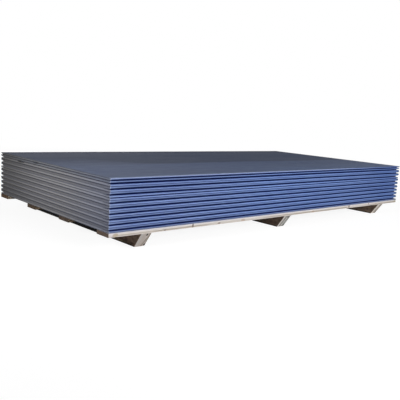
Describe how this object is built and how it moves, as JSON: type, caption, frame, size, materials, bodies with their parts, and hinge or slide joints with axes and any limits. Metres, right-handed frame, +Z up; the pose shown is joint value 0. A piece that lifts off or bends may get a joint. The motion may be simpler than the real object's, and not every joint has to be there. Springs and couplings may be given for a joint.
{
  "type": "drywall sheet stack on pallet",
  "caption": "Flat stack of blue drywall sheets with tapered, rounded long edges, lying on a low timber pallet of deck boards and cross bearers with slanted ends.",
  "frame": {"origin": "on the floor under the middle of the pallet", "axes": "+X along the sheets' long edges, +Y across the sheets, +Z up"},
  "size_m": [2.5024, 1.2012, 0.345],
  "materials": {
    "board_paper": "matte blue face paper round a gypsum core, grey back paper",
    "deck_timber": "sawn softwood",
    "bearer_timber": "sawn softwood, weathered brown",
    "nail_steel": "dull nail heads"
  },
  "bodies": {
    "root": {"sheet_01": "board_paper", "sheet_02": "board_paper", "sheet_03": "board_paper", "sheet_04": "board_paper", "sheet_05": "board_paper", "sheet_06": "board_paper", "sheet_07": "board_paper", "sheet_08": "board_paper", "sheet_09": "board_paper", "sheet_10": "board_paper", "sheet_11": "board_paper", "sheet_12": "board_paper", "sheet_13": "board_paper", "sheet_14": "board_paper", "sheet_15": "board_paper", "sheet_16": "board_paper", "sheet_17": "board_paper", "sheet_18": "board_paper", "sheet_19": "board_paper", "sheet_20": "board_paper", "deck_board_1": "deck_timber", "deck_board_2": "deck_timber", "deck_board_3": "deck_timber", "deck_board_4": "deck_timber", "bearer_left": "bearer_timber", "bearer_middle": "bearer_timber", "bearer_right": "bearer_timber"}
  },
  "joints": []
}
